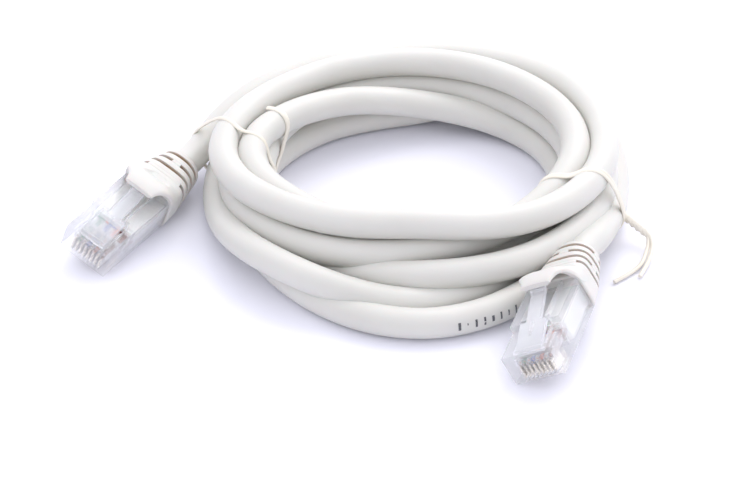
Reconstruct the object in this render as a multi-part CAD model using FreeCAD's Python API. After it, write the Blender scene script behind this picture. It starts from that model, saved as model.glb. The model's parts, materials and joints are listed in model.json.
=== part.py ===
import FreeCAD, Part
import math
import os

os.makedirs("parts", exist_ok=True)

# A coiled network patch lead: a round cable with a clear modular plug on each
# end, wound into a ring and held by two wire twist ties. Millimetres, +Z up,
# the ring stands on z = 0 with its middle at the origin.

# ---- driving sizes: the plug ------------------------------------------------
PLUG_W = 11.68          # housing width, the standard modular plug
PLUG_L = 22.0           # housing length, nose to rear
NOSE_H = 6.6            # housing height at the nose
REAR_H = 8.0            # housing height behind the step
STEP_Y = 8.4            # where the two heights meet, and the latch's shoulders
WALL = 1.0              # housing wall
PINS = 8                # contacts and conductors
PITCH = 1.02            # from one contact to the next
BLADE_T = 0.35          # contact blade thickness
BLADE_Y0, BLADE_Y1 = 1.1, 5.0
BLADE_Z0 = 0.35         # blade's outer edge, just inside the underside
WIRE_D = 0.94           # insulated conductor
CORE_D = 0.5            # its copper core
WIRE_Z = 3.6            # height of the conductors' row
WIRE_Y0 = 1.9           # front end of the conductors
BAR_Y1 = 6.4            # the comb that holds the conductors in their row
BAR_H = 1.9
MOULD_Y0 = STEP_Y + 1.2   # the white inner mould starts here
MOULD_H = 4.4

# ---- the latch, a living hinge at the nose ----------------------------------
LATCH_Y = 1.7                 # middle of its half-round root
LATCH_Z = NOSE_H - 0.6
ROOT_R = 0.65
LATCH_L = 14.7          # root to free end, along the plug
LATCH_END = LATCH_Y + LATCH_L
LATCH_RISE = 4.2        # how far the free end stands above the root
LATCH_T = 0.9
LATCH_WIDE, LATCH_NARROW = 6.1, 3.25
GAP = 0.12              # running gap round anything that moves

# ---- the boot and its hood ---------------------------------------------------
CORD_D = 6.4                   # the cable's jacket
BOOT_SKIN = 0.56               # boot wall round the housing
BOOT_LAP = 0.8                 # how far the boot reaches over the housing's rear
BOOT_Y0 = PLUG_L - BOOT_LAP
BOOT_L = 13.8
BOOT_Y1 = BOOT_Y0 + BOOT_L
BOOT_W = PLUG_W + 2 * BOOT_SKIN      # front section
BOOT_H = REAR_H + 1.2
TAIL_D = CORD_D + 2.8                # tail, nearly round
AXIS_Z = REAR_H / 2                  # height of the cable's axis in the plug
HOOD_W = 7.2
HOOD_T = 1.1
HOOD_FRONT = LATCH_END - 0.8         # its lip covers the latch's free end
HOOD_PIVOT = BOOT_Y0 + 3.9
HOOD_ROOT_R = 0.75
HOOD_GAP = 0.6                       # room between the latch's end and the hood
HOOD_TOP = LATCH_Z + LATCH_RISE + LATCH_T / 2 + 0.25 + HOOD_GAP + HOOD_T
SLIT_ROWS = 4
SLIT_T = 0.85
SLIT_Y0 = HOOD_PIVOT + 1.2
SLIT_PITCH = (BOOT_Y1 - SLIT_Y0 - 2.0) / (SLIT_ROWS - 1)
SLIT_BRIDGE_0 = HOOD_W / 2 + 0.8      # half width left whole under the hood's root
SLIT_CORE = CORD_D + 1.3             # what the slits leave standing round the cable

# ---- the cable ----------------------------------------------------------------
JACKET_Y0 = PLUG_L + 1.0       # the jacket starts inside the boot

# Where the plugs lie: nose middle on the underside, then the turns about Z (yaw),
# the plug's width (pitch) and its length (roll), in degrees.
PLUG_A = ((-71.2, -21.4, 2.45), -31.0, 0.0, 22.0)
PLUG_B = ((23.4, -61.8, 3.25), -19.0, 2.4, -31.0)

# Each row is one turn of the coil, from the back of the ring round by the right
# and the front. Each pair is the (radius, height) of the cord's middle at eight
# stations, 45 degrees apart.
TURNS = [
    [(46.6, 10.8), (43.6, 14.6), (39.8, 14.9), (33.0, 15.2),
     (25.6, 15.2), (31.8, 15.0), (42.2, 14.7), (39.8, 14.6)],
    [(38.4, 14.6), (36.0, 15.2), (33.6, 15.1), (26.8, 10.2),
     (26.6, 9.0), (34.9, 9.2), (40.3, 8.6), (42.0, 4.6)],
    [(41.4, 3.2), (41.8, 3.2), (38.0, 3.2), (38.8, 3.2),
     (44.2, 3.2), (39.4, 3.2), (36.9, 3.2), (35.2, 3.2)],
    [(35.0, 3.4), (43.6, 8.9), (39.8, 8.8), (37.4, 9.0),
     (33.2, 7.4), (32.0, 3.8), (33.9, 8.6), (37.2, 8.8)],
    [(37.8, 8.6), (36.6, 9.1), (33.4, 9.0), (24.5, 3.6),
     (19.5, 3.3), (25.2, 10.0), (36.2, 14.0), (31.6, 12.8)],
    [(31.0, 8.0), (35.4, 3.2), (31.8, 3.2), (32.0, 3.2),
     (37.2, 3.2), (42.6, 8.8), (43.4, 3.4), (47.8, 3.4)],
    [(47.6, 3.2), (50.2, 5.2), (42.2, 3.7)],
]
STATION = 45.0
SECTIONS = 32                  # cross-sections of the coil's outer shape
SIDES = 8                      # sides of each cross-section

# ---- the twist ties -------------------------------------------------------------
TIE_W, TIE_T = 1.6, 0.8
TIE_WIRE = 0.4
TIE_LEFT, TIE_RIGHT = 163.0, -19.0     # where each goes round the ring
TAIL_D_TIE = 1.2


def vec(x, y, z):
    return FreeCAD.Vector(x, y, z)


def box(x0, x1, y0, y1, z0, z1):
    return Part.makeBox(x1 - x0, y1 - y0, z1 - z0, vec(x0, y0, z0))


def rod_x(y, z, radius, width):
    """A round bar across the plug."""
    return Part.makeCylinder(radius, width, vec(-width / 2, y, z), vec(1, 0, 0))


def rod_y(x, z, radius, y0, y1):
    """A round bar along the plug."""
    return Part.makeCylinder(radius, y1 - y0, vec(x, y0, z), vec(0, 1, 0))


def side_plate(points, width):
    """A flat outline in the plug's side view, as thick as width."""
    wire = Part.makePolygon([vec(-width / 2, y, z) for y, z in points + points[:1]])
    return Part.Face(wire).extrude(vec(width, 0, 0))


def pin_x(i):
    return (i - (PINS - 1) / 2) * PITCH


# ------------------------------------------------------------------ plug pieces
def latch_line():
    """Root and free end of the latch's middle line, (y, z)."""
    return (LATCH_Y, LATCH_Z), (LATCH_END, LATCH_Z + LATCH_RISE)


def housing():
    body = box(-PLUG_W / 2, PLUG_W / 2, 0, PLUG_L, 0, NOSE_H)
    body = body.fuse(box(-PLUG_W / 2, PLUG_W / 2, STEP_Y, PLUG_L, 0, REAR_H))
    body = body.removeSplitter()
    # trough that the latch folds down into
    side = LATCH_WIDE / 2 + 0.3
    body = body.cut(box(-side, side, LATCH_Y, STEP_Y + 1.2, LATCH_Z - 0.6, REAR_H + 1))
    body = body.cut(rod_x(LATCH_Y, LATCH_Z, ROOT_R + GAP, 2 * side))
    side = LATCH_NARROW / 2 + 0.4
    body = body.cut(box(-side, side, STEP_Y, PLUG_L + 1, MOULD_H + 2.0, REAR_H + 1))
    # slots for the blades, and the tunnel for the comb and conductors
    for i in range(PINS):
        x = pin_x(i)
        half = BLADE_T / 2 + 0.08
        body = body.cut(box(x - half, x + half, BLADE_Y0 - 0.1, BLADE_Y1 + 0.1,
                            -1, WIRE_Z))
    row = PINS * PITCH / 2 + 0.2
    bar0, bar1 = WIRE_Z - BAR_H / 2, WIRE_Z + BAR_H / 2
    body = body.cut(box(-row, row, WIRE_Y0 - 0.4, MOULD_Y0, bar0, bar1))
    # rear cavity
    inner = PLUG_W / 2 - WALL
    body = body.cut(box(-inner, inner, MOULD_Y0 - 1.6, PLUG_L + 1,
                        WALL, WALL + MOULD_H + 0.2))
    return body


def contacts():
    blades = []
    for i in range(PINS):
        x = pin_x(i)
        blade = box(x - BLADE_T / 2, x + BLADE_T / 2, BLADE_Y0, BLADE_Y1,
                    BLADE_Z0, WIRE_Z - WIRE_D / 2 - 0.2)
        for y in (BLADE_Y0 + 1.5, BLADE_Y1 - 0.9):
            blade = blade.fuse(box(x - BLADE_T / 2, x + BLADE_T / 2, y, y + 0.6,
                                   BLADE_Z0, WIRE_Z - CORE_D / 2))
        blades.append(blade.removeSplitter())
    return Part.makeCompound(blades)


def conductor(i):
    x = pin_x(i)
    sleeve = rod_y(x, WIRE_Z, WIRE_D / 2, WIRE_Y0, JACKET_Y0)
    return sleeve.cut(rod_y(x, WIRE_Z, CORE_D / 2 + 0.01, WIRE_Y0 - 1, JACKET_Y0 + 1))


def cores():
    return Part.makeCompound(
        [rod_y(pin_x(i), WIRE_Z, CORE_D / 2, WIRE_Y0 + 0.1, JACKET_Y0)
         for i in range(PINS)])


def load_bar():
    row = PINS * PITCH / 2 + 0.1
    bar = box(-row, row, WIRE_Y0 - 0.3, BAR_Y1,
              WIRE_Z - BAR_H / 2 + 0.05, WIRE_Z + BAR_H / 2 - 0.05)
    for i in range(PINS):
        x = pin_x(i)
        bar = bar.cut(rod_y(x, WIRE_Z, WIRE_D / 2 + 0.02, WIRE_Y0 - 0.1, BAR_Y1 + 1))
        half = BLADE_T / 2 + 0.08
        bar = bar.cut(box(x - half, x + half, BLADE_Y0 - 0.4, BLADE_Y1 + 0.1,
                          0, WIRE_Z))
    return bar


def inner_mould():
    half = PLUG_W / 2 - WALL - 0.1
    block = box(-half, half, MOULD_Y0, PLUG_L - 0.2, WALL + 0.1, WALL + MOULD_H)
    row = PINS * PITCH / 2 + 0.05
    slot = WIRE_D / 2 + 0.05
    return block.cut(box(-row, row, MOULD_Y0 - 1, PLUG_L, WIRE_Z - slot, WIRE_Z + slot))


def latch():
    (y0, z0), (y1, z1) = latch_line()
    slope = (z1 - z0) / (y1 - y0)
    shoulder = z0 + slope * (STEP_Y - y0)
    half = LATCH_T / 2
    wide = side_plate([(y0, z0 - half), (STEP_Y, shoulder - half),
                       (STEP_Y, shoulder + half), (y0, z0 + half)], LATCH_WIDE)
    narrow = side_plate([(STEP_Y - 1, shoulder - slope - half), (y1, z1 - half),
                         (y1, z1 + half), (STEP_Y - 1, shoulder - slope + half)],
                        LATCH_NARROW)
    arm = wide.fuse(narrow).fuse(rod_x(y0, z0, ROOT_R, LATCH_WIDE))
    # finger tab at the free end and the rib between the shoulders
    arm = arm.fuse(side_plate([(y1 - 2.2, z1 - slope * 2.2), (y1, z1),
                               (y1, z1 + half + 0.25), (y1 - 1.2, z1 + half + 0.25)],
                              LATCH_NARROW))
    rib = side_plate([(y0 + 2.5, z0 + slope * 2.5), (STEP_Y - 0.6, shoulder),
                      (STEP_Y - 0.6, shoulder + half + 0.3),
                      (y0 + 3.0, z0 + slope * 3.0 + half)], 0.8)
    return arm.fuse(rib).removeSplitter()


# ------------------------------------------------------------------ boot pieces
def rounded_section(y, width, height, radius):
    """A rounded rectangle across the plug, as a wire."""
    w, h, k = width / 2, height / 2, radius * math.sqrt(0.5)
    r = radius

    def at(x, z):
        return vec(x, y, AXIS_Z + z)

    corners = [(1, 1), (-1, 1), (-1, -1), (1, -1)]
    edges = []
    for n, (sx, sz) in enumerate(corners):
        cx, cz = sx * (w - r), sz * (h - r)
        ends = [at(cx + sx * r, cz), at(cx, cz + sz * r)]
        if n % 2:
            ends.reverse()
        edges.append(Part.Arc(ends[0], at(cx + sx * k, cz + sz * k), ends[1]).toShape())
        nx, nz = corners[(n + 1) % 4]
        ncx, ncz = nx * (w - r), nz * (h - r)
        start = [at(ncx + nx * r, ncz), at(ncx, ncz + nz * r)]
        if (n + 1) % 2:
            start.reverse()
        edges.append(Part.makeLine(ends[1], start[0]))
    return Part.Wire(edges)


def boot_outside():
    """The boot's plain outer shape, with no slits or hollows."""
    span = BOOT_Y1 - BOOT_Y0
    stages = [(0.0, BOOT_W, BOOT_H, 2.0), (0.35, BOOT_W - 0.6, BOOT_H - 0.1, 2.6),
              (0.7, BOOT_W - 2.2, BOOT_H - 0.1, 3.6), (1.0, TAIL_D, TAIL_D - 0.2, 4.4)]
    wires = [rounded_section(BOOT_Y0 + f * span, w, h, r) for f, w, h, r in stages]
    return Part.makeLoft(wires, True, False)


def boot():
    body = boot_outside()
    # socket for the housing's rear, cavity for the conductors, bore for the cable
    body = body.cut(box(-PLUG_W / 2 - 0.05, PLUG_W / 2 + 0.05, BOOT_Y0 - 1,
                        PLUG_L + 0.05, -0.05, REAR_H + 0.05))
    inner = PINS * PITCH / 2 + 0.2
    body = body.cut(box(-inner, inner, PLUG_L, JACKET_Y0 + 0.1,
                        WIRE_Z - WIRE_D, WIRE_Z + WIRE_D))
    body = body.cut(rod_y(0, AXIS_Z, CORD_D / 2 + 0.01, JACKET_Y0 - 0.1, BOOT_Y1 + 1))
    # staggered flex slits: odd rows keep bridges at the sides, even rows above and
    # below; the first row only opens the sides, because the hood's root is above it
    keep = rod_y(0, AXIS_Z, SLIT_CORE / 2, BOOT_Y0, BOOT_Y1 + 1)
    for row in range(SLIT_ROWS):
        y = SLIT_Y0 + row * SLIT_PITCH
        ring = box(-BOOT_W, BOOT_W, y, y + SLIT_T, AXIS_Z - BOOT_H, AXIS_Z + BOOT_H)
        ring = ring.cut(keep)
        if row % 2:
            ring = ring.cut(box(-BOOT_W, BOOT_W, y - 1, y + 2, AXIS_Z - 1.1, AXIS_Z + 1.1))
        else:
            bridge = 1.3 if row else SLIT_BRIDGE_0
            ring = ring.cut(box(-bridge, bridge, y - 1, y + 2, AXIS_Z - BOOT_H, AXIS_Z + BOOT_H))
        body = body.cut(ring)
    # pocket for the hood's root
    top = AXIS_Z + BOOT_H / 2
    body = body.cut(rod_x(HOOD_PIVOT, top, HOOD_ROOT_R + GAP, HOOD_W + 2 * GAP))
    return body


def hood():
    top = AXIS_Z + BOOT_H / 2
    under = HOOD_TOP - HOOD_T
    outline = [(HOOD_FRONT, HOOD_TOP - 0.3), (HOOD_FRONT + 2.2, HOOD_TOP),
               (HOOD_FRONT + 5.2, HOOD_TOP - 0.3), (HOOD_PIVOT - 1.0, top + 1.7),
               (HOOD_PIVOT, top + HOOD_ROOT_R), (HOOD_PIVOT, top),
               (HOOD_PIVOT - 1.4, top + 0.45), (HOOD_FRONT + 5.2, under - 0.3),
               (HOOD_FRONT + 2.2, under), (HOOD_FRONT, under)]
    tab = side_plate(outline, HOOD_W)
    tab = tab.fuse(rod_x(HOOD_PIVOT, top, HOOD_ROOT_R, HOOD_W))
    # thumb dimple
    dish = Part.makeSphere(6.0, vec(0, HOOD_FRONT + 3.6, HOOD_TOP + 5.55))
    return tab.cut(dish).removeSplitter()


# ----------------------------------------------------------------- plug placing
def placed(shape, place):
    origin, yaw, pitch, roll = place
    turned = shape.copy()
    turned.rotate(vec(0, 0, 0), vec(0, 1, 0), roll)
    turned.rotate(vec(0, 0, 0), vec(1, 0, 0), pitch)
    turned.rotate(vec(0, 0, 0), vec(0, 0, 1), yaw)
    turned.translate(vec(*origin))
    return turned


def plug_point(place, y):
    """A point on the cable's axis in a placed plug."""
    spot = placed(Part.Vertex(0, y, AXIS_Z), place)
    return spot.Point


# ------------------------------------------------------------------------ cable
def smooth(a, b, c, d, t):
    """Value between b and c on the smooth curve through a, b, c and d."""
    return 0.5 * (2 * b + (c - a) * t + (2 * a - 5 * b + 4 * c - d) * t ** 2
                  + (3 * b - a - 3 * c + d) * t ** 3)


def coil_points(steps=4):
    """The cord's middle line round the coil, a few points to each station."""
    stations = [pair for row in TURNS for pair in row]
    last = len(stations) - 1
    points = []
    for i in range(last):
        near = [stations[min(max(i + k, 0), last)] for k in (-1, 0, 1, 2)]
        for j in range(steps):
            t = j / steps
            radius = smooth(*[pair[0] for pair in near], t)
            height = max(smooth(*[pair[1] for pair in near], t), CORD_D / 2)
            angle = math.radians(90 - STATION * (i + t))
            points.append(vec(radius * math.cos(angle), radius * math.sin(angle), height))
    radius, height = stations[last]
    angle = math.radians(90 - STATION * last)
    points.append(vec(radius * math.cos(angle), radius * math.sin(angle), height))
    return points


# The free stretches, from each plug's boot to the coil. The last two points of
# lead A and the last of lead B lie inside the ring.
LEAD_A = [plug_point(PLUG_A, JACKET_Y0), plug_point(PLUG_A, BOOT_Y1 + 3.0),
          vec(-42.0, 24.0, 9.8), vec(-32.6, 33.8, 11.4)]
LEAD_B = [plug_point(PLUG_B, JACKET_Y0), plug_point(PLUG_B, BOOT_Y1 + 3.0),
          vec(39.7, -12.5, 6.1), vec(42.2, 0.0, 3.8)]


def tube(points, diameter):
    """A round tube on straight runs joined by tangent arcs."""
    edges = []
    start = points[0]
    for before, corner, after in zip(points, points[1:], points[2:]):
        u, v = (before - corner), (after - corner)
        shorter = min(u.Length, v.Length)
        u.normalize()
        v.normalize()
        half_turn = (math.pi - u.getAngle(v)) / 2
        cut = 0.45 * shorter
        radius = cut / math.tan(half_turn)
        print("bend radius %.1f" % radius)
        a, b = corner + u * cut, corner + v * cut
        middle = u + v
        middle.normalize()
        bow = radius / math.cos(half_turn) - radius
        edges.append(Part.makeLine(start, a))
        edges.append(Part.Arc(a, corner + middle * bow, b).toShape())
        start = b
    edges.append(Part.makeLine(start, points[-1]))
    spine = Part.Wire(edges)
    along = points[1] - points[0]
    ring = Part.Wire([Part.makeCircle(diameter / 2, points[0], along)])
    return spine.makePipeShell([ring], True, True)


def ring_outline(angle, grow=0.0):
    """The bundle's outline at one angle round the ring: corners (radius, height)."""
    lead = [LEAD_A[1], LEAD_A[2], LEAD_A[2] * 0.5 + LEAD_A[3] * 0.5, LEAD_A[3], vec(-17.5, 43.2, 11.6)]
    lead += [LEAD_B[2], LEAD_B[2] * 0.5 + LEAD_B[3] * 0.5]
    reach = 180.0 / SECTIONS + 3.0
    middles = []
    for point in coil_points() + lead:
        turn = math.degrees(math.atan2(point.y, point.x)) - angle
        if abs((turn + 180) % 360 - 180) <= reach:
            middles.append((math.hypot(point.x, point.y), point.z))
    lines = []
    for k in range(SIDES):
        a = 2 * math.pi * k / SIDES
        far = max(r * math.cos(a) + z * math.sin(a) for r, z in middles)
        lines.append((math.cos(a), math.sin(a), far + CORD_D / 2 + grow))
    corners = []
    for k in range(SIDES):
        (a, b, p), (c, d, q) = lines[k], lines[(k + 1) % SIDES]
        det = a * d - b * c
        corners.append(((p * d - b * q) / det, max((a * q - p * c) / det, 0.0)))
    return corners


def coil():
    """One closed solid of the wound turns' outer shape."""
    grid = []
    for s in range(SECTIONS):
        angle = 360.0 * s / SECTIONS
        c, n = math.cos(math.radians(angle)), math.sin(math.radians(angle))
        grid.append([vec(r * c, r * n, z) for r, z in ring_outline(angle)])
    faces = []
    for s in range(SECTIONS):
        here, there = grid[s], grid[(s + 1) % SECTIONS]
        for k in range(SIDES):
            m = (k + 1) % SIDES
            for corners in ((here[k], there[k], there[m]), (here[k], there[m], here[m])):
                faces.append(Part.Face(Part.makePolygon(list(corners) + [corners[0]])))
    solid = Part.Solid(Part.Shell(faces))
    if solid.Volume < 0:
        solid.reverse()
    return solid


# ------------------------------------------------------------------------- ties
def tie_ring(angle, inner, outer, width):
    """A flat band round the bundle at one angle, between two offsets."""
    c, n = math.cos(math.radians(angle)), math.sin(math.radians(angle))
    along = vec(-n, c, 0)
    rings = []
    for grow in (outer, inner):
        corners = [(r, max(z, outer - grow + 0.05)) for r, z in ring_outline(angle, grow)]
        points = [vec(r * c, r * n, z) - along * (width / 2) for r, z in corners]
        rings.append(Part.Face(Part.makePolygon(points + points[:1])).extrude(along * width))
    return rings[0].cut(rings[1])


def tie(angle):
    """Strip with a twisted tail, and the wire inside it."""
    middle = TIE_T / 2 + 0.1
    strip = tie_ring(angle, 0.1, 0.1 + TIE_T, TIE_W)
    wire = tie_ring(angle, middle - TIE_WIRE / 2, middle + TIE_WIRE / 2, TIE_WIRE)
    return strip.cut(wire), wire


def tie_tail(angle, spread):
    """The tie's twisted end, standing out from the ring."""
    far = max(r for r, z in ring_outline(angle, 0.1 + TIE_T)) - 0.2
    c, n = math.cos(math.radians(angle)), math.sin(math.radians(angle))
    start = vec(far * c, far * n, 7.0)
    bend = start + vec(c, n, 0) * 4.0 + vec(0, 0, -0.5)
    end = bend + vec(c, n, 0) * 2.0 + vec(n, -c, 0) * spread + vec(0, 0, -2.0)
    return tube([start, bend, end], TAIL_D_TIE)


# ---------------------------------------------------------------------- writing
def write(name, shape):
    shape.exportStep(os.path.join("parts", name + ".step"))
    print("%-16s volume %9.2f  valid %s  solids %d"
          % (name, shape.Volume, shape.isValid(), len(shape.Solids)))


def main():
    for side, place in (("a", PLUG_A), ("b", PLUG_B)):
        pieces = {"housing": housing(), "latch": latch(), "contacts": contacts(),
                  "load_bar": load_bar(), "wire_cores": cores(),
                  "inner_mould": inner_mould(), "boot": boot(), "hood": hood()}
        for i in range(PINS):
            pieces["wire_%d" % (i + 1)] = conductor(i)
        for name, shape in pieces.items():
            write("%s_%s" % (side, name), placed(shape, place))

    ties = {}
    for name, angle, spread in (("tie_left", TIE_LEFT, 5.0), ("tie_right", TIE_RIGHT, 9.0)):
        strip, wire = tie(angle)
        ties[name] = strip.fuse(tie_tail(angle, spread))
        ties[name + "_wire"] = wire
    ring = coil()
    for name, shape in ties.items():
        write(name, shape)
        ring = ring.cut(shape)
    for name, points in (("lead_a", LEAD_A), ("lead_b", LEAD_B)):
        lead = tube(points, CORD_D)
        length = sum((q - p).Length for p, q in zip(points, points[1:]))
        print("%s: straight-run volume %.0f" % (name, length * math.pi * CORD_D ** 2 / 4))
        write(name, lead)
        ring = ring.cut(lead)
    for place in (PLUG_A, PLUG_B):
        ring = ring.cut(placed(boot_outside(), place))
    write("coil", max(ring.Solids, key=lambda solid: solid.Volume))


main()
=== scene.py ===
# %% [markdown]
# # A coiled network patch lead
#
# The object is one round cable with a clear modular plug on each end. The cable
# is wound into a loose ring of six and a quarter turns, and two plastic-covered
# wire ties hold the ring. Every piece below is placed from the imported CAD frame,
# which is in metres with +Z up and the ring standing on z = 0.

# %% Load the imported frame
import json
import math

import bmesh
import bpy
from mathutils import Matrix, Vector

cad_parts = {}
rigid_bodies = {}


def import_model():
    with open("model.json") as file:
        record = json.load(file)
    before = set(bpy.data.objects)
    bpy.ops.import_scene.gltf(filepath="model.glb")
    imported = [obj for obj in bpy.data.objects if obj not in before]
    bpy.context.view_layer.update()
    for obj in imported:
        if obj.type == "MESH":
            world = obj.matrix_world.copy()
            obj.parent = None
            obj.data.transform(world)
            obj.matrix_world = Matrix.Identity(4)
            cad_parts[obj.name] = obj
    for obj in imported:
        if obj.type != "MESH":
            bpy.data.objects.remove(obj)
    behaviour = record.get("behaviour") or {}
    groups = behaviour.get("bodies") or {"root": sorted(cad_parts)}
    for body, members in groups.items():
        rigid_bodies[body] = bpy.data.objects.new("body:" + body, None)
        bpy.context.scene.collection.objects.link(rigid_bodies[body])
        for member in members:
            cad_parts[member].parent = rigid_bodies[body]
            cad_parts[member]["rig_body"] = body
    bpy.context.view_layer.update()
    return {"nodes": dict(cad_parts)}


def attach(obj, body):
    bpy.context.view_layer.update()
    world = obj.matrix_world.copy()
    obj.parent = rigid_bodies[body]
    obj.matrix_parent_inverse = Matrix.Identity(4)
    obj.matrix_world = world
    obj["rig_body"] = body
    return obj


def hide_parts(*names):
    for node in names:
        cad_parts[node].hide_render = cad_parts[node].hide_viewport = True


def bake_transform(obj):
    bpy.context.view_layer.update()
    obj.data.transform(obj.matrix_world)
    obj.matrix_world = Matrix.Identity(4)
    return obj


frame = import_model()
NODES = frame["nodes"]
MM = 0.001

# %% [markdown]
# ## The camera
#
# A product picture of a small thing is taken from about half a metre with a
# long lens, so that near and far turns keep nearly the same width. The camera
# looks down at 36 degrees along +Y. Only its place and lens say what is in view.

# %% Camera
CAMERA_PLACE = (-0.00937, -0.4458, 0.3136)
CAMERA_TILT = 54.0

camera_data = bpy.data.cameras.new("camera")
camera_data.lens = 120.0
camera_data.sensor_width = 36.0
camera_data.clip_start = 0.01
camera = bpy.data.objects.new("camera", camera_data)
camera.location = CAMERA_PLACE
camera.rotation_euler = (math.radians(CAMERA_TILT), 0.0, 0.0)
bpy.context.scene.collection.objects.link(camera)
bpy.context.scene.camera = camera
print("camera at", CAMERA_PLACE)

# %% [markdown]
# ## Where the plugs lie
#
# Each plug has its own small frame: x across the plug, y from the nose to the
# cable, z up to the latch, in millimetres. One matrix carries that frame to the
# place where the plug rests, so a boot is modelled once and placed twice.

# %% Plug frames
PLUGS = {
    "a": ((-71.2, -21.4, 2.45), -31.0, 0.0, 22.0),
    "b": ((23.4, -61.8, 3.25), -19.0, 2.4, -31.0),
}


def plug_matrix(side):
    """The matrix from a plug's own millimetres to the frame's metres."""
    origin, yaw, pitch, roll = PLUGS[side]
    turn = (Matrix.Rotation(math.radians(yaw), 4, "Z")
            @ Matrix.Rotation(math.radians(pitch), 4, "X")
            @ Matrix.Rotation(math.radians(roll), 4, "Y"))
    return Matrix.Scale(MM, 4) @ Matrix.Translation(origin) @ turn


def plug_spot(side, x, y, z):
    return plug_matrix(side) @ Vector((x, y, z))


PLUG_L = 22.0                   # nose to rear
AXIS_Z = 4.0                    # the cable's height in the plug's own frame
CORD_D = 6.4
JACKET_Y0 = PLUG_L + 1.0        # where the jacket starts
BOOT_Y0, BOOT_Y1 = 21.2, 35.0   # the boot's mouth and tail
print("plug a's nose at", [round(v, 4) for v in plug_spot("a", 0, 0, 0)])

# %% [markdown]
# ## The cable's route
#
# A cable this thick never turns sharply. It is wound by hand, so its turns
# differ in size, cross each other in long low humps and fan out between the
# ties. The route is a table of stations, eight to a turn, each with a radius
# and a height. A smooth NURBS curve through that route, with a round bevel, is
# the whole cable: it has no joins, and it bends only as the route does.

# %% Route
TURNS = [
    [(46.6, 10.8), (43.6, 14.6), (39.8, 14.9), (33.0, 15.2),
     (25.6, 15.2), (31.8, 15.0), (42.2, 14.7), (39.8, 14.6)],
    [(38.4, 14.6), (36.0, 15.2), (33.6, 15.1), (26.8, 10.2),
     (26.6, 9.0), (34.9, 9.2), (40.3, 8.6), (42.0, 4.6)],
    [(41.4, 3.2), (41.8, 3.2), (38.0, 3.2), (38.8, 3.2),
     (44.2, 3.2), (39.4, 3.2), (36.9, 3.2), (35.2, 3.2)],
    [(35.0, 3.4), (43.6, 8.9), (39.8, 8.8), (37.4, 9.0),
     (33.2, 7.4), (32.0, 3.8), (33.9, 8.6), (37.2, 8.8)],
    [(37.8, 8.6), (36.6, 9.1), (33.4, 9.0), (24.5, 3.6),
     (19.5, 3.3), (25.2, 10.0), (36.2, 14.0), (31.6, 12.8)],
    [(31.0, 8.0), (35.4, 3.2), (31.8, 3.2), (32.0, 3.2),
     (37.2, 3.2), (42.6, 8.8), (43.4, 3.4), (47.8, 3.4)],
    [(47.6, 3.2), (50.2, 5.2), (42.2, 3.7)],
]
STATION = 45.0
FREE_A = [(-46.9, 16.4, 7.2), (-43.0, 23.0, 9.4), (-37.0, 30.5, 11.0),
          (-28.6, 37.2, 11.6), (-17.5, 43.2, 11.6)]
FREE_B = [(41.1, -7.5, 4.8), (39.2, -14.5, 6.6), (36.8, -20.8, 7.8)]


def smooth(a, b, c, d, t):
    """Value between b and c on the smooth curve through a, b, c and d."""
    return 0.5 * (2 * b + (c - a) * t + (2 * a - 5 * b + 4 * c - d) * t ** 2
                  + (3 * b - a - 3 * c + d) * t ** 3)


def coil_route(steps=3):
    """Control points round the ring, a few to each station."""
    stations = [pair for row in TURNS for pair in row]
    last = len(stations) - 1
    wide = 1 / math.cos(math.radians(STATION / steps / 2))
    points = []
    for k in range(last * steps + 1):
        i, t = min(k // steps, last - 1), (k % steps) / steps
        if k == last * steps:
            i, t = last - 1, 1.0
        near = [stations[min(max(i + n, 0), last)] for n in (-1, 0, 1, 2)]
        radius = smooth(*[pair[0] for pair in near], t) * wide
        height = max(smooth(*[pair[1] for pair in near], t), CORD_D / 2)
        angle = math.radians(90 - STATION * (i + t))
        points.append((radius * math.cos(angle), radius * math.sin(angle), height))
    return points


def boot_run(side):
    """The straight stretch that the boot holds, from inside it to its tail."""
    return [plug_spot(side, 0, y, AXIS_Z) / MM for y in (JACKET_Y0, 30.0, 37.5)]


ROUTE = boot_run("a") + FREE_A + coil_route() + FREE_B + boot_run("b")[::-1]
print("route points:", len(ROUTE))

# %% Cable curve


def nurbs(name, points, bevel):
    """A NURBS curve of one open spline through a route, in millimetres."""
    data = bpy.data.curves.new(name, "CURVE")
    data.dimensions = "3D"
    data.resolution_u = 4
    data.bevel_depth = bevel * MM
    data.bevel_resolution = 8
    data.use_fill_caps = bevel > 0
    spline = data.splines.new("NURBS")
    spline.points.add(len(points) - 1)
    for spot, place in zip(spline.points, points):
        spot.co = (*[v * MM for v in place], 1.0)
    spline.order_u = 3
    spline.use_endpoint_u = True
    piece = bpy.data.objects.new(name, data)
    bpy.context.scene.collection.objects.link(piece)
    return piece


def middle_line(points):
    """Points along the smooth spline of a route, in millimetres."""
    line = nurbs("measuring_line", points, 0)
    bpy.context.view_layer.update()
    mesh = bpy.data.meshes.new_from_object(line)
    found = [v.co / MM for v in mesh.vertices]
    bpy.data.objects.remove(line)
    bpy.data.meshes.remove(mesh)
    return found


cable = nurbs("cable_jacket", ROUTE, CORD_D / 2)
LINE = middle_line(ROUTE)

# %% [markdown]
# ## Finishes
#
# A finish is a small network of nodes. Soft vinyl is nearly white, with a slow
# change of tone along it, a fine grain in its bump and a satin gloss. All the
# patterns are in the object's own coordinates, so they stay put from any side.

# %% Node helpers


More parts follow.
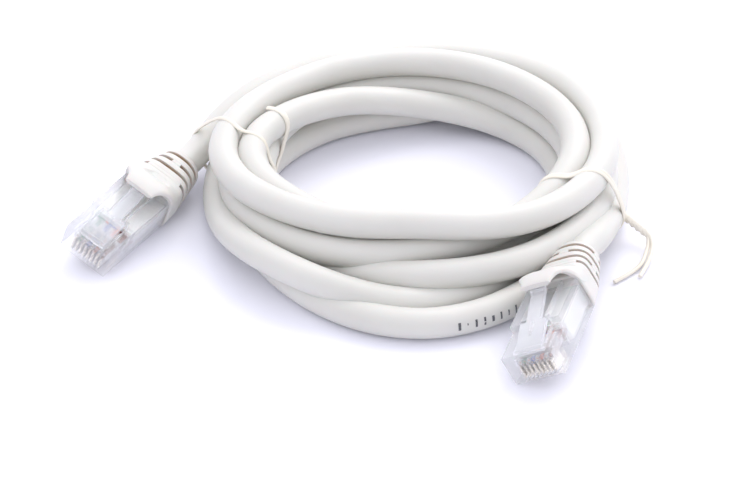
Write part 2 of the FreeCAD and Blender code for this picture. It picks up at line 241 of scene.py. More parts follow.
class Finish:
    """One material and a few short ways to add nodes to it."""

    def __init__(self, name):
        self.material = bpy.data.materials.new(name)
        self.material.use_nodes = True
        self.tree = self.material.node_tree
        self.skin = self.tree.nodes["Principled BSDF"]
        self.where = self.tree.nodes.new("ShaderNodeTexCoord").outputs["Object"]

    def link(self, start, end):
        self.tree.links.new(start, end)

    def noise(self, scale, detail=3.0):
        node = self.tree.nodes.new("ShaderNodeTexNoise")
        node.inputs["Scale"].default_value = scale
        node.inputs["Detail"].default_value = detail
        self.link(self.where, node.inputs["Vector"])
        return node.outputs["Fac"]

    def ramp(self, source, stops):
        """Colours or greys by value; stops are (value, colour)."""
        node = self.tree.nodes.new("ShaderNodeValToRGB")
        while len(node.color_ramp.elements) < len(stops):
            node.color_ramp.elements.new(0.5)
        for element, (value, colour) in zip(node.color_ramp.elements, stops):
            element.position = value
            element.color = (*colour, 1.0)
        self.link(source, node.inputs["Fac"])
        return node.outputs["Color"]

    def mix(self, factor, a, b):
        node = self.tree.nodes.new("ShaderNodeMix")
        node.data_type = "RGBA"
        self.link(factor, node.inputs[0])
        for socket, value in ((node.inputs[6], a), (node.inputs[7], b)):
            if isinstance(value, tuple):
                socket.default_value = (*value, 1.0)
            else:
                self.link(value, socket)
        return node.outputs[2]

    def edge_on(self, face_value, rim_value, blend=0.35):
        """One value where the surface faces the eye, another at its rims."""
        node = self.tree.nodes.new("ShaderNodeLayerWeight")
        node.inputs["Blend"].default_value = blend
        return self.ramp(node.outputs["Facing"], [(0.15, (face_value,) * 3),
                                                  (0.9, (rim_value,) * 3)])

    def attribute(self, name):
        node = self.tree.nodes.new("ShaderNodeAttribute")
        node.attribute_name = name
        return node.outputs["Fac"]

    def colour(self, socket):
        self.link(socket, self.skin.inputs["Base Color"])

    def roughness(self, source, low, high):
        grey = self.ramp(source, [(0.3, (low,) * 3), (0.7, (high,) * 3)])
        self.link(grey, self.skin.inputs["Roughness"])

    def bump(self, source, depth, strength=1.0):
        """Raised detail; depth is in metres."""
        node = self.tree.nodes.new("ShaderNodeBump")
        node.inputs["Distance"].default_value = depth
        node.inputs["Strength"].default_value = strength
        self.link(source, node.inputs["Height"])
        before = self.skin.inputs["Normal"]
        if before.is_linked:
            self.link(before.links[0].from_socket, node.inputs["Normal"])
        self.link(node.outputs["Normal"], before)

    def constants(self, **values):
        for name, value in values.items():
            self.skin.inputs[name.replace("_", " ")].default_value = value


def wear(finish, piece):
    """Gives a piece one finish, in the object's own material slot."""
    if not piece.material_slots:
        piece.data.materials.append(finish.material)
    for slot in piece.material_slots:
        slot.link = "OBJECT"
        slot.material = finish.material


# %% Soft vinyl of the jacket
JACKET_LIGHT = (0.690, 0.682, 0.640)
JACKET_SHADE = (0.635, 0.627, 0.583)

jacket = Finish("jacket_vinyl")
jacket.colour(jacket.ramp(jacket.noise(45.0), [(0.3, JACKET_SHADE), (0.7, JACKET_LIGHT)]))
jacket.roughness(jacket.noise(160.0), 0.36, 0.50)
jacket.bump(jacket.noise(150.0, 1.0), 0.00022, 0.6)
jacket.bump(jacket.noise(2600.0, 2.0), 0.00002, 0.5)
jacket.constants(Subsurface_Weight=0.08, Subsurface_Scale=0.002, IOR=1.5)
wear(jacket, cable)
print("jacket finish ready")

# %% [markdown]
# ## Clear housing and latch
#
# The housing is moulded in one shot from clear polycarbonate. Its real edges
# are slightly rounded, and those narrow round edges are what catch the light on
# clear plastic. The CAD solid has sharp edges, so a copy is merged, cleaned of
# extra edges on its flat faces, and given a small bevel.

# %% Clear plastic
clear = Finish("clear_polycarbonate")
clear.colour(clear.ramp(clear.noise(300.0), [(0.3, (0.91, 0.915, 0.93)),
                                             (0.7, (0.965, 0.97, 0.98))]))
clear.roughness(clear.noise(500.0), 0.03, 0.09)
clear.bump(clear.noise(900.0, 1.0), 0.00003, 0.5)
clear.constants(Transmission_Weight=0.55, IOR=1.42)
clear.link(clear.edge_on(0.18, 0.92, 0.45), clear.skin.inputs["Alpha"])

frosted = Finish("clear_latch_plastic")
frosted.colour(frosted.ramp(frosted.noise(300.0), [(0.3, (0.90, 0.91, 0.94)),
                                                  (0.7, (0.98, 0.98, 1.0))]))
frosted.roughness(frosted.noise(700.0), 0.12, 0.24)
frosted.bump(frosted.noise(1200.0, 1.0), 0.00003, 0.5)
frosted.constants(Transmission_Weight=0.35, IOR=1.42)
frosted.link(frosted.edge_on(0.38, 0.75), frosted.skin.inputs["Alpha"])

# %% Round the moulded edges
SHARP = math.radians(30)


def moulded_copy(node, name, finish, radius):
    """A CAD node's shape with its edges rounded, in place of the node."""
    mesh = NODES[node].data.copy()
    form = bmesh.new()
    form.from_mesh(mesh)
    bmesh.ops.remove_doubles(form, verts=form.verts, dist=2e-6)
    bmesh.ops.dissolve_limit(form, angle_limit=math.radians(0.5),
                             verts=form.verts, edges=form.edges)
    form.to_mesh(mesh)
    form.free()
    mesh.materials.clear()
    piece = bpy.data.objects.new(name, mesh)
    bpy.context.scene.collection.objects.link(piece)
    soft = piece.modifiers.new("moulded edges", "BEVEL")
    soft.width = radius * MM
    soft.segments = 2
    soft.limit_method = "ANGLE"
    soft.angle_limit = SHARP
    soft.use_clamp_overlap = True
    body = NODES[node]["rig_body"]
    wear(finish, piece)
    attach(piece, body)
    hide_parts(node)
    return piece


for side in "ab":
    moulded_copy(side + "_housing", "plug_%s_housing" % side, clear, 0.2)
    moulded_copy(side + "_latch", "plug_%s_latch" % side, frosted, 0.14)
print("housings and latches moulded")

# %% [markdown]
# ## Contacts, comb, mould and conductors
#
# These keep their CAD shapes and get real finishes. Contacts are gold-plated
# blades with fine punching lines. The comb is moulded clear, but it is rough
# inside, so it looks milky where it is thick. The conductors are eight coloured
# wires, and every second one is white with rings of its partner's colour. The
# comb and the rings both change along the plug, so one helper gives the place
# along a plug as a value from 0 to 1.

# %% Metal and white plastics
gold = Finish("gold_plate")
gold.colour(gold.ramp(gold.noise(900.0), [(0.3, (0.88, 0.80, 0.66)),
                                          (0.7, (0.97, 0.90, 0.76))]))
gold.roughness(gold.noise(2500.0), 0.18, 0.34)
gold.bump(gold.noise(4000.0), 0.000008)
gold.constants(Metallic=0.75)

copper = Finish("bare_copper")
copper.colour(copper.ramp(copper.noise(900.0), [(0.3, (0.72, 0.36, 0.22)),
                                                (0.7, (0.88, 0.50, 0.34))]))
copper.roughness(copper.noise(2500.0), 0.25, 0.40)
copper.constants(Metallic=1.0)

mould = Finish("white_inner_mould")
mould.colour(mould.ramp(mould.noise(120.0), [(0.3, (0.84, 0.84, 0.81)),
                                             (0.7, (0.90, 0.90, 0.87))]))
mould.roughness(mould.noise(600.0), 0.38, 0.52)
mould.bump(mould.noise(1500.0), 0.00002, 0.5)
mould.constants(Subsurface_Weight=0.15, Subsurface_Scale=0.002)
print("metals and mould ready")

# %% A value along the plug


def lengthwise(finish, side, start, end):
    """A value that runs from 0 to 1 between two places along a plug, in mm."""
    along = plug_matrix(side).to_3x3().normalized() @ Vector((0, 1, 0))
    reach = finish.tree.nodes.new("ShaderNodeVectorMath")
    reach.operation = "DOT_PRODUCT"
    reach.inputs[1].default_value = along
    finish.link(finish.where, reach.inputs[0])
    span = finish.tree.nodes.new("ShaderNodeMapRange")
    span.inputs["From Min"].default_value = plug_spot(side, 0, start, 0).dot(along)
    span.inputs["From Max"].default_value = plug_spot(side, 0, end, 0).dot(along)
    finish.link(reach.outputs["Value"], span.inputs["Value"])
    return span.outputs["Result"]


# %% Milky comb
COMB_CLEAR_TO, COMB_MILKY_FROM = 4.8, 6.8       # millimetres from the nose
COMB_ALPHA = [(0.1, (0.12,) * 3), (0.9, (0.75,) * 3)]


def comb_finish(side):
    """Clear at the front, where the conductors show, and milky at the back."""
    finish = Finish("comb_" + side)
    finish.colour(finish.ramp(finish.noise(300.0), [(0.3, (0.88, 0.90, 0.92)),
                                                    (0.7, (0.96, 0.97, 0.98))]))
    finish.roughness(finish.noise(800.0), 0.15, 0.3)
    finish.constants(Transmission_Weight=0.15, IOR=1.35)
    along = lengthwise(finish, side, COMB_CLEAR_TO, COMB_MILKY_FROM)
    finish.link(finish.ramp(along, COMB_ALPHA), finish.skin.inputs["Alpha"])
    return finish


for side in "ab":
    wear(gold, NODES[side + "_contacts"])
    wear(copper, NODES[side + "_wire_cores"])
    wear(mould, NODES[side + "_inner_mould"])
    wear(comb_finish(side), NODES[side + "_load_bar"])

# %% Wire colours
WIRE_COLOURS = [
    ("green", (0.02, 0.30, 0.13)), ("orange", (0.85, 0.16, 0.02)),
    ("blue", (0.02, 0.12, 0.60)), ("brown", (0.22, 0.06, 0.03)),
]
WIRE_WHITE = (0.86, 0.86, 0.84)
# position in the plug: (colour, striped with white)
WIRE_ORDER = [(0, True), (0, False), (1, True), (2, False),
              (2, True), (1, False), (3, True), (3, False)]
RING_EVERY = 3.2        # rings of colour on a striped wire, millimetres apart
RING_SHARE = 0.32       # how much of that is colour


def wire_finish(side, number, colour, striped):
    """Plain or ringed insulation; the rings run across the plug's own length."""
    finish = Finish("wire_%s_%d" % (side, number))
    dark = tuple(0.8 * v for v in colour)
    tint = finish.ramp(finish.noise(700.0), [(0.3, dark), (0.7, colour)])
    if striped:
        wave = finish.tree.nodes.new("ShaderNodeMath")
        wave.operation = "PINGPONG"
        wave.inputs[1].default_value = 0.5
        reach = finish.tree.nodes.new("ShaderNodeMath")
        reach.operation = "MULTIPLY"
        reach.inputs[1].default_value = PLUG_L / RING_EVERY
        finish.link(lengthwise(finish, side, 0.0, PLUG_L), reach.inputs[0])
        finish.link(reach.outputs[0], wave.inputs[0])
        band = finish.tree.nodes.new("ShaderNodeMath")
        band.operation = "LESS_THAN"
        band.inputs[1].default_value = RING_SHARE / 2
        finish.link(wave.outputs[0], band.inputs[0])
        tint = finish.mix(band.outputs[0], WIRE_WHITE, tint)
    finish.colour(tint)
    finish.roughness(finish.noise(900.0), 0.3, 0.45)
    return finish


for side in "ab":
    for i, (pick, striped) in enumerate(WIRE_ORDER):
        colour = WIRE_COLOURS[pick][1]
        wear(wire_finish(side, i + 1, colour, striped), NODES["%s_wire_%d" % (side, i + 1)])
print("wires coloured: 16")

# %% [markdown]
# ## The boots
#
# A boot is soft vinyl moulded over the back of the plug. It starts as a rounded
# box round the housing and tapers to a ring round the cable, and staggered
# slits let it bend. It is made as a stack of rings, each a rounded box whose
# corners open out towards the tail. Where a slit runs, the rings step inward,
# except on the bridges that hold the boot together.

# %% Boot vinyl
boot_vinyl = Finish("boot_vinyl")
tone = boot_vinyl.ramp(boot_vinyl.noise(60.0), [(0.3, (0.665, 0.652, 0.615)),
                                               (0.7, (0.715, 0.703, 0.668))])
# The slits' feet are painted a dark tan: painted shade in the slits, where little light reaches.
boot_vinyl.colour(boot_vinyl.mix(boot_vinyl.attribute("painted_slit_shade"), tone, (0.40, 0.27, 0.15)))
boot_vinyl.roughness(boot_vinyl.noise(300.0), 0.42, 0.56)
boot_vinyl.bump(boot_vinyl.noise(2200.0), 0.00002, 0.6)
boot_vinyl.constants(Subsurface_Weight=0.12, Subsurface_Scale=0.002)

# %% Boot outline
SLIT_ROWS, SLIT_Y0, SLIT_PITCH, SLIT_T = 4, 26.3, 2.233, 0.85
SLIT_DEPTH_R = 3.85             # the slits stop this far from the cable's axis
TOP_BRIDGE, ROOT_BRIDGE, SIDE_BRIDGE = 1.3, 4.4, 1.1    # half widths
COLUMNS = 120
#        along  half width, half height, squareness
STAGES = [(0.00, 6.40, 4.60, 5.6), (0.35, 6.10, 4.56, 4.4),
          (0.70, 5.30, 4.56, 2.9), (1.00, 4.60, 4.50, 2.1)]


def along_stages(t, column):
    """A stage value at t, eased between the stages on either side."""
    for low, high in zip(STAGES, STAGES[1:]):
        if t <= high[0]:
            f = (t - low[0]) / (high[0] - low[0])
            return low[column] + (high[column] - low[column]) * max(f, 0.0)
    return STAGES[-1][column]


def boot_ring(y, inset=0.0):
    """One ring of the boot's skin in the plug's frame, shrunk by inset."""
    t = (y - BOOT_Y0) / (BOOT_Y1 - BOOT_Y0)
    half_w, half_h = along_stages(t, 1) - inset, along_stages(t, 2) - inset
    power = 2 / along_stages(t, 3)
    ring = []
    for k in range(COLUMNS):
        c, s = math.cos(2 * math.pi * k / COLUMNS), math.sin(2 * math.pi * k / COLUMNS)
        ring.append(Vector((half_w * math.copysign(abs(c) ** power, c), y,
                            AXIS_Z + half_h * math.copysign(abs(s) ** power, s))))
    return ring


def slit_open(row, spot):
    """Whether a slit runs here; the rows' bridges are staggered.

    The first row only opens the sides, because the hood's root is above it.
    """
    if row % 2:
        return abs(spot.z - AXIS_Z) > SIDE_BRIDGE
    return abs(spot.x) > (TOP_BRIDGE if row else ROOT_BRIDGE)


def slit_ring(y, row):
    """A ring at the foot of a slit, and at each column how deep it is; the boot's finish paints
    shade where it is deep.
    """
    ring, depth = boot_ring(y), [0.0] * COLUMNS
    for k, spot in enumerate(ring):
        out = Vector((spot.x, 0, spot.z - AXIS_Z))
        if slit_open(row, spot) and out.length > SLIT_DEPTH_R:
            out *= SLIT_DEPTH_R / out.length
            ring[k] = Vector((out.x, y, AXIS_Z + out.z))
            # the value 1 marks the slit's foot, which the boot's finish paints as shade
            depth[k] = 1.0
    return ring, depth


# %% Boot rings
def boot_rings():
    """Every ring of the boot, from inside its mouth, out and back to the tail."""
    none = [0.0] * COLUMNS
    rings = [(boot_ring(PLUG_L + 0.05, 0.55), none), (boot_ring(BOOT_Y0 + 0.1, 0.55), none),
             (boot_ring(BOOT_Y0, 0.42), none), (boot_ring(BOOT_Y0, 0.15), none),
             (boot_ring(BOOT_Y0 + 0.15), none)]
    y = BOOT_Y0 + 1.0
    while y < SLIT_Y0 - 0.3:
        rings.append((boot_ring(y), none))
        y += 0.8
    for row in range(SLIT_ROWS):
        y0 = SLIT_Y0 + row * SLIT_PITCH
        y1 = y0 + SLIT_T
        rings += [(boot_ring(y0 - 0.12), none), (boot_ring(y0 - 0.02, 0.04), none),
                  slit_ring(y0 + 0.03, row), slit_ring(y1 - 0.03, row),
                  (boot_ring(y1 + 0.02, 0.04), none), (boot_ring(y1 + 0.12), none),
                  (boot_ring((y1 + y0 + SLIT_PITCH) / 2), none)]
    rings += [(boot_ring(BOOT_Y1 - 0.5), none), (boot_ring(BOOT_Y1 - 0.15, 0.05), none),
              (boot_ring(BOOT_Y1, 0.3), none), (boot_ring(BOOT_Y1, 1.1), none),
              (boot_ring(BOOT_Y1 - 0.6, 1.45), none)]
    return rings


def loft(name, rings, slit_shade_marks=None):
    """A closed mesh through rings of points, each end filled."""
    form = bmesh.new()
    # a value at each corner that paints shade into the boot's slits
    layer = form.verts.layers.float.new("painted_slit_shade")
    rows = []
    for n, ring in enumerate(rings):
        row = [form.verts.new(p) for p in ring]
        if slit_shade_marks:
            for vert, value in zip(row, slit_shade_marks[n]):
                vert[layer] = value
        rows.append(row)
    for low, high in zip(rows, rows[1:]):
        for k in range(len(low)):
            m = (k + 1) % len(low)
            form.faces.new((low[k], low[m], high[m], high[k]))
    form.faces.new(rows[0])
    form.faces.new(rows[-1])
    bmesh.ops.recalc_face_normals(form, faces=form.faces)
    mesh = bpy.data.meshes.new(name)
    form.to_mesh(mesh)
    form.free()
    piece = bpy.data.objects.new(name, mesh)
    bpy.context.scene.collection.objects.link(piece)
    return piece


def shade_smooth(piece, angle=50):
    """Smooth shading, with creases kept where the faces turn sharply."""
    for face in piece.data.polygons:
        face.use_smooth = True
    piece.data.set_sharp_from_angle(angle=math.radians(angle))


for side in "ab":
    rings = boot_rings()
    boot = loft("plug_%s_boot" % side, [r for r, m in rings], [m for r, m in rings])
    boot.data.transform(plug_matrix(side))
    shade_smooth(boot)
    wear(boot_vinyl, boot)
    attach(boot, "cable")
    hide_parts(side + "_boot")
    print(boot.name, len(boot.data.polygons), "faces")

# %% [markdown]
# ## The hoods
#
# A hood is a springy lip on the boot that covers the latch's free end, so that
# the latch can't snag. It is widest where it grows out of the boot and narrows
# to the lip, and its sides are cut back in an arch. It is lofted from arched
# sections, with a thumb dimple pressed in, and its root blends into the boot.

# %% Hood sections
#         y,    half width, crown, edge height
HOOD_SECTIONS = [
    (15.6, 3.50, 12.15, 11.55), (16.2, 3.62, 12.40, 11.60), (17.4, 4.05, 12.60, 11.55),
    (18.4, 4.75, 12.60, 11.35), (19.3, 5.45, 12.50, 10.70), (20.1, 5.95, 12.25, 9.60),
    (20.8, 6.25, 11.90, 8.20), (21.4, 6.38, 11.50, 6.80), (22.3, 6.38, 10.80, 5.60),
    (23.3, 6.30, 9.95, 5.20), (24.3, 6.20, 9.20, 5.20), (25.2, 6.08, 8.72, 5.20),
    (26.1, 5.92, 8.42, 5.40),
]
HOOD_WALL = 1.05
HOOD_STEPS = 48


def hood_stations(between=4):
    """The sections above with smooth ones between them."""
    last = len(HOOD_SECTIONS) - 1
    found = []
    for i in range(last):
        near = [HOOD_SECTIONS[min(max(i + n, 0), last)] for n in (-1, 0, 1, 2)]
        found += [tuple(smooth(*values, j / between) for values in zip(*near))
                  for j in range(between)]
    return found + [HOOD_SECTIONS[last]]


def thumb_dish(x, y):
    """How deep the thumb dimple is: steep at its rear rim, faded at its front."""
    spread = (x / 3.3) ** 2 + ((y - 22.7) / 2.8) ** 2
    front = min(max((y - 19.8) / 2.8, 0.0), 1.0)
    return 1.0 * max(1 - spread, 0.0) ** 0.5 * front


def hood_arc(section, wall):
    """One arched section, wall inside the skin."""
    y, half, crown, edge = section
    half, crown = half - wall, crown - wall
    edge = min(edge, crown - 0.2)
    arc = []
    for k in range(HOOD_STEPS + 1):
        a = math.pi * k / HOOD_STEPS
        c, s = math.cos(a), math.sin(a)
        x = half * math.copysign(abs(c) ** 0.72, c)
        z = edge + (crown - edge) * abs(s) ** 0.62
        arc.append(Vector((x, y, z - (0.0 if wall else thumb_dish(x, y)))))
    return arc


for side in "ab":
    rings = [hood_arc(s, 0.0) + hood_arc(s, HOOD_WALL)[::-1] for s in hood_stations()]
    hood = loft("plug_%s_hood" % side, rings)
    hood.data.transform(plug_matrix(side))
    soft = hood.modifiers.new("soft rim", "BEVEL")
    soft.width = 0.28 * MM
    soft.segments = 3
    soft.limit_method = "ANGLE"
    soft.angle_limit = math.radians(50)
    shade_smooth(hood, 60)
    wear(boot_vinyl, hood)
    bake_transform(hood)
    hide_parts(side + "_hood")
    print(hood.name, len(hood.data.polygons), "faces")

# %% [markdown]
# ## The twist ties
#
# A tie is a thin wire in a flat plastic strip, soft enough to follow what it
# goes round. At each step the cable's line is cut at one angle of the ring, and
# the tie lies on the strands found there, so it arches over each one and dips
# between them. It lies a little askew, as a tie put on by hand does, so its
# angle round the ring changes on the way. Its two ends are twisted together and
# left free.

# %% Tie finish
tie_plastic = Finish("tie_plastic")
tie_plastic.colour(tie_plastic.ramp(tie_plastic.noise(200.0), [(0.3, (0.76, 0.71, 0.60)),
                                                              (0.7, (0.84, 0.80, 0.71))]))
tie_plastic.roughness(tie_plastic.noise(900.0), 0.35, 0.5)
tie_plastic.bump(tie_plastic.noise(3000.0), 0.00002)

# %% Strands at an angle
TIE_HALF_W, TIE_HALF_T = 0.62, 0.34


def strands(angle):
    """Where the cable passes a half plane at this angle: (radius, height)."""
    c, s = math.cos(math.radians(angle)), math.sin(math.radians(angle))
    found = []
    for p, q in zip(LINE, LINE[1:]):
        before, after = p.y * c - p.x * s, q.y * c - q.x * s
        if before * after <= 0 and before != after and p.x * c + p.y * s > 0:
            spot = p.lerp(q, before / (before - after))
            found.append((spot.x * c + spot.y * s, spot.z))
    return found


AROUND = [(math.cos(math.radians(a)), math.sin(math.radians(a))) for a in range(0, 360, 5)]


def hug(here, nr, nz, reach):
    """How far the tie is from the strands' middle, in one direction.

    On the ring's inner side it lies on the strands. On the outer side it is
    taut, and goes straight from one strand to the next.
    """
    mr, mz = sum(r for r, z in here) / len(here), sum(z for r, z in here) / len(here)
    lying = 0.0
    for r, z in here:
        along = (r - mr) * nr + (z - mz) * nz
        gap = along ** 2 - (r - mr) ** 2 - (z - mz) ** 2 + reach ** 2
        if gap > 0:
            lying = max(lying, along + math.sqrt(gap))
    taut = math.inf
    for ur, uz in AROUND:
        slope = ur * nr + uz * nz
        if slope > 0.1:
            edge = max((r - mr) * ur + (z - mz) * uz for r, z in here) + reach
            taut = min(taut, edge / slope)
    outer = min(max(nr / 0.4, 0.0), 1.0)
    return mr, mz, lying + (taut - lying) * outer


def wrap(angle_at, start, turns, steps=72, slack=0.0):
    """A line lying on the strands: points, and outward directions.

    It starts at an angle of the section and goes round it a number of turns.
    angle_at gives the ring's angle from how far along it is and where it is.
    """
    points, outward = [], []
    total = int(steps * abs(turns))
    for k in range(total + 1):
        f = k / total
        around = math.radians(start) + 2 * math.pi * turns * f
        angle = angle_at(f, around)
        c, s = math.cos(math.radians(angle)), math.sin(math.radians(angle))
        nr, nz = math.cos(around), math.sin(around)
        here = strands(angle)
        mr, mz, far = hug(here, nr, nz, CORD_D / 2 + TIE_HALF_T + slack)
        r, z = mr + nr * far, max(mz + nz * far, TIE_HALF_T + 0.1)
        points.append(Vector((r * c, r * s, z)))
        outward.append(Vector((nr * c, nr * s, nz)))
    return points, outward


# %% Strip along a line
def relax(points, rounds=2):
    """Takes small corners out of a line, ends kept."""
    for _ in range(rounds):
        points = ([points[0]] + [(a + b * 2 + c) / 4 for a, b, c
                                 in zip(points, points[1:], points[2:])] + [points[-1]])
    return points


def strip(name, points, outward, half_w=TIE_HALF_W, half_t=TIE_HALF_T,
          thicken=lambda f: 1.0):
    """A thin strip with a rounded section, flat against what it goes round."""
    rings = []
    for n, spot in enumerate(points):
        size = thicken(n / (len(points) - 1))
        ahead = (points[min(n + 1, len(points) - 1)] - points[max(n - 1, 0)]).normalized()
        across = ahead.cross(outward[n]).normalized()
        up = across.cross(ahead).normalized()
        ring = []
        for k in range(14):
            a = 2 * math.pi * k / 14
            c, s = math.cos(a), math.sin(a)
            ridge = 1.0 + 0.5 * max(0.0, 1 - abs(c) * 2.5)
            ring.append(spot + across * half_w * size * c
                        + up * half_t * size * s * ridge * 0.8)
        rings.append(ring)
    piece = loft(name, rings)
    piece.data.transform(Matrix.Scale(MM, 4))
    shade_smooth(piece, 60)
    wear(tie_plastic, piece)
    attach(piece, "cable")
    return piece


# %% Left tie
loop, out = wrap(lambda f, a: 168.5 - 7.5 * math.cos(a), 205.0, -1.0)
left_tie = strip("tie_left_strip", relax(loop, 6), out)
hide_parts("tie_left", "tie_left_wire")
loop, out = wrap(lambda f, a: 172.0 - 18.0 * f ** 0.35, 220.0, -0.29, slack=0.3)
strip("tie_left_end", relax(loop, 6), out, 0.8, 0.4)
print(left_tie.name, "strands tied:", len(strands(163)))

# %% Right tie
loop, out = wrap(lambda f, a: -16.0 - 2.0 * f + 4.5 * math.cos(a), 190.0, -1.9)
right_tie = strip("tie_right_strip", relax(loop, 6), out)
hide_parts("tie_right", "tie_right_wire")
print(right_tie.name, "strands tied:", len(strands(-19)))


# %% Twisted ends of the right tie
def line_through(points, steps=8):
    """A smooth line through a few chosen points."""
    line = []
    for i in range(len(points) - 1):
        near = [Vector(points[min(max(i + n, 0), len(points) - 1)]) for n in (-1, 0, 1, 2)]
        line += [smooth(*near, j / steps) for j in range(steps)]
    return line + [Vector(points[-1])]


TWIST = [(43.4, -8.8, 5.6), (45.8, -10.4, 4.4), (48.2, -12.2, 3.2)]
ENDS = [[(48.9, -13.2, 2.4), (48.4, -16.2, 1.4), (46.2, -21.4, 0.8), (40.7, -26.4, 0.6)],
        [(49.3, -13.0, 2.8), (49.6, -15.6, 2.0), (48.4, -19.8, 1.1), (46.2, -24.6, 0.7)]]
TWIST_R, TWIST_TURNS = 0.7, 2.5

for n, end in enumerate(ENDS):
    axis = line_through(TWIST)
    points = []
    for k, spot in enumerate(axis):
        a = math.pi * n + 2 * math.pi * TWIST_TURNS * k / (len(axis) - 1)
        points.append(spot + Vector((-0.5 * math.cos(a), 0.8 * math.cos(a), math.sin(a)))
                      * TWIST_R)
    points = points[:-1] + line_through([axis[-1]] + end)[2:]
    up = [Vector((0, 0, 1))] * len(points)
    strip("tie_right_end_%d" % (n + 1), relax(points), up, 0.48, 0.40,
          lambda f: 1.75 - 0.75 * min(max((f - 0.3) / 0.15, 0.0), 1.0))
print("tie ends:", len(ENDS))

# %% [markdown]
# ## The printed marks on the jacket
#
# A patch lead's jacket is printed every so often. Here the print is plain: a
# row of small dark dashes with no letters. Geometry Nodes place one small
# curved patch at each point of a short guide line on the jacket's middle, so
# the number of marks, their size and their gap are inputs that can be changed.

# %% Ink
ink = Finish("grey_print")
ink.colour(ink.ramp(ink.noise(3000.0), [(0.35, (0.16, 0.16, 0.17)), (0.65, (0.06, 0.06, 0.065))]))
ink.roughness(ink.noise(800.0), 0.45, 0.6)

# %% Mark-printing node tree


def marks_tree():
    """Dashes along a curve: inputs are their count, length, width and seed."""
    tree = bpy.data.node_groups.new("printed dashes", "GeometryNodeTree")
    face = tree.interface
    face.new_socket("Geometry", in_out="INPUT", socket_type="NodeSocketGeometry")
    for name, kind, value in (("Count", "Int", 12), ("Dash length", "Float", 1.0 * MM),
                              ("Dash width", "Float", 0.3 * MM),
                              ("Jacket radius", "Float", 3.2 * MM), ("Seed", "Int", 4),
                              ("Ink", "Material", None)):
        socket = face.new_socket(name, in_out="INPUT", socket_type="NodeSocket" + kind)
        if value is not None:
            socket.default_value = value
    face.new_socket("Geometry", in_out="OUTPUT", socket_type="NodeSocketGeometry")
    return tree


def grow_marks(tree):
    """Joins the nodes: patch, points, lean, instance, realize, material."""
    add, link = tree.nodes.new, tree.links.new
    given, made = add("NodeGroupInput"), add("NodeGroupOutput")
    # a patch bent to the jacket: a short arc swept along the dash
    patch = add("GeometryNodeMeshGrid")
    patch.inputs["Vertices X"].default_value = 5
    patch.inputs["Vertices Y"].default_value = 5
    link(given.outputs["Dash width"], patch.inputs["Size X"])
    link(given.outputs["Dash length"], patch.inputs["Size Y"])
    spot, split = add("GeometryNodeInputPosition"), add("ShaderNodeSeparateXYZ")
    link(spot.outputs[0], split.inputs[0])
    turn = add("ShaderNodeMath")
    turn.operation = "DIVIDE"
    link(split.outputs["X"], turn.inputs[0])
    link(given.outputs["Jacket radius"], turn.inputs[1])
    sine, cosine, place = add("ShaderNodeMath"), add("ShaderNodeMath"), add("ShaderNodeCombineXYZ")
    for node, operation in ((sine, "SINE"), (cosine, "COSINE")):
        node.operation = operation
        link(turn.outputs[0], node.inputs[0])
    for node, socket in ((sine, "X"), (cosine, "Z")):
        scaled = add("ShaderNodeMath")
        scaled.operation = "MULTIPLY"
        link(node.outputs[0], scaled.inputs[0])
        link(given.outputs["Jacket radius"], scaled.inputs[1])
        link(scaled.outputs[0], place.inputs[socket])
    link(split.outputs["Y"], place.inputs["Y"])
    bend = add("GeometryNodeSetPosition")
    link(patch.outputs["Mesh"], bend.inputs["Geometry"])
    link(place.outputs[0], bend.inputs["Position"])
    # points along the guide, each turned to its direction
    row = add("GeometryNodeResampleCurve")
    link(given.outputs["Geometry"], row.inputs["Curve"])
    link(given.outputs["Count"], row.inputs["Count"])
    ahead = add("GeometryNodeInputTangent")
    face_y = add("FunctionNodeAlignEulerToVector")
    face_y.axis = "Y"
    link(ahead.outputs[0], face_y.inputs["Vector"])
    lean = add("FunctionNodeAlignEulerToVector")
    lean.axis, lean.pivot_axis = "Z", "Y"
    lean.inputs["Vector"].default_value = (0.25, -0.95, 0.18)
    link(face_y.outputs[0], lean.inputs["Rotation"])
    size = add("FunctionNodeRandomValue")
    size.data_type = "FLOAT_VECTOR"
    size.inputs[0].default_value = (0.8, 0.45, 1.0)
    size.inputs[1].default_value = (1.2, 1.25, 1.0)
    link(given.outputs["Seed"], size.inputs["Seed"])
    put = add("GeometryNodeInstanceOnPoints")
    link(row.outputs[0], put.inputs["Points"])
    link(bend.outputs[0], put.inputs["Instance"])
    link(lean.outputs[0], put.inputs["Rotation"])
    link(size.outputs["Value"], put.inputs["Scale"])
    real, paint = add("GeometryNodeRealizeInstances"), add("GeometryNodeSetMaterial")
    link(put.outputs[0], real.inputs[0])
    link(real.outputs[0], paint.inputs["Geometry"])
    link(given.outputs["Ink"], paint.inputs["Material"])
    link(paint.outputs[0], made.inputs[0])


MARKS = marks_tree()
grow_marks(MARKS)

# %% Print the dashes


def print_marks(name, guide, values):
    """Runs the tree on a guide line and keeps the result as a plain mesh."""
    line = nurbs(name + "_guide", guide, 0)
    printer = line.modifiers.new("print", "NODES")
    printer.node_group = MARKS
    for socket in MARKS.interface.items_tree:
        if socket.in_out == "INPUT" and socket.name in values:
            printer[socket.identifier] = values[socket.name]
    bpy.context.view_layer.update()
    shown = line.evaluated_get(bpy.context.evaluated_depsgraph_get())
    mesh = bpy.data.meshes.new_from_object(shown)
    bpy.data.objects.remove(line)
    piece = bpy.data.objects.new(name, mesh)
    bpy.context.scene.collection.objects.link(piece)
    wear(ink, piece)
    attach(piece, "cable")
    print(name, len(mesh.polygons), "faces")
    return piece


def floor_strand(first, last):
    """The middle line of the lowest outer strand between two angles."""
    spots = []
    for k in range(7):
        angle = first + (last - first) * k / 6
        low = [pair for pair in strands(angle) if pair[1] < 4.5]
        r, z = max(low)
        c, s = math.cos(math.radians(angle)), math.sin(math.radians(angle))
        spots.append((r * c, r * s, z))
    return spots


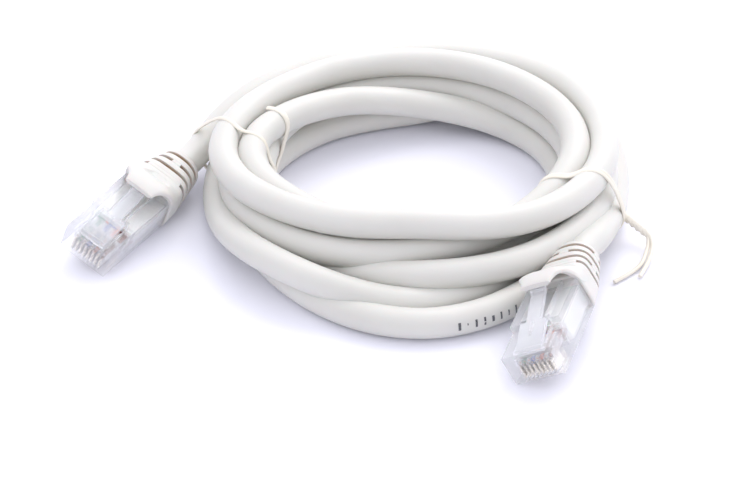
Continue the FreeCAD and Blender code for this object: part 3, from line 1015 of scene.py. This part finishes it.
print_marks("jacket_print", floor_strand(-81.0, -60.0),
            {"Count": 10, "Dash length": 0.5 * MM, "Dash width": 1.6 * MM,
             "Jacket radius": (CORD_D / 2 + 0.02) * MM, "Seed": 4, "Ink": ink.material})

# %% [markdown]
# ## Tie the cable to the frame
#
# The cable rides on the body that carries both plugs, and the imported cable
# pieces are hidden.

wear(jacket, cable)
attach(cable, "cable")
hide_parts("lead_a", "coil", "lead_b")

# %% [markdown]
# ## Floor and light
#
# The lead lies on a plain pale floor in soft studio light. A big soft light
# stands behind on the right, so the shadows fall to the front and the left, and
# a weak one in front lifts the lowest turns. Most of the light is a pale cool
# sky that is brighter above and behind than in front.

# %% Floor
FLOOR_SIZE = 6.0
floor_form = bmesh.new()
bmesh.ops.create_grid(floor_form, x_segments=2, y_segments=2, size=FLOOR_SIZE / 2)
floor_mesh = bpy.data.meshes.new("floor")
floor_form.to_mesh(floor_mesh)
floor_form.free()
floor = bpy.data.objects.new("floor", floor_mesh)
bpy.context.scene.collection.objects.link(floor)
table = Finish("pale_floor")
table.colour(table.ramp(table.noise(3.0), [(0.3, (0.86, 0.86, 0.93)),
                                           (0.7, (0.88, 0.88, 0.95))]))
table.roughness(table.noise(20.0), 0.55, 0.7)
wear(table, floor)
print("floor", FLOOR_SIZE, "m wide")

# %% Lights


def soft_light(name, place, size, power, colour):
    """A square area light that looks at the middle of the ring."""
    data = bpy.data.lights.new(name, "AREA")
    data.size = size
    data.energy = power
    data.color = colour
    light = bpy.data.objects.new(name, data)
    light.location = place
    aim = Vector((0, 0, 0)) - Vector(place)
    light.rotation_euler = aim.to_track_quat("-Z", "Y").to_euler()
    bpy.context.scene.collection.objects.link(light)


soft_light("key", (0.38, 0.62, 0.85), 0.8, 4.6, (1.0, 0.985, 0.95))
soft_light("fill", (-0.25, -0.9, 0.16), 0.9, 0.8, (0.93, 0.94, 1.0))
print("lights ready")

# %% Sky
BRIGHT_WAY = (0.10, 0.60, 0.79)
SKY_DIM, SKY_BRIGHT = 0.40, 1.58

world = bpy.data.worlds.new("pale studio")
world.use_nodes = True
SKY = world.node_tree
sky_way = SKY.nodes.new("ShaderNodeTexCoord")
sky_dot = SKY.nodes.new("ShaderNodeVectorMath")
sky_dot.operation = "DOT_PRODUCT"
sky_dot.inputs[1].default_value = BRIGHT_WAY
sky_span = SKY.nodes.new("ShaderNodeMapRange")
for socket, value in (("From Min", -1.0), ("From Max", 1.0),
                      ("To Min", SKY_DIM), ("To Max", SKY_BRIGHT)):
    sky_span.inputs[socket].default_value = value
SKY.links.new(sky_way.outputs["Generated"], sky_dot.inputs[0])
SKY.links.new(sky_dot.outputs["Value"], sky_span.inputs["Value"])
SKY.links.new(sky_span.outputs["Result"], SKY.nodes["Background"].inputs["Strength"])
SKY.nodes["Background"].inputs["Color"].default_value = (0.93, 0.93, 1.0, 1.0)
bpy.context.scene.world = world
bpy.context.scene.view_settings.view_transform = "Standard"
print("sky", SKY_DIM, "to", SKY_BRIGHT)
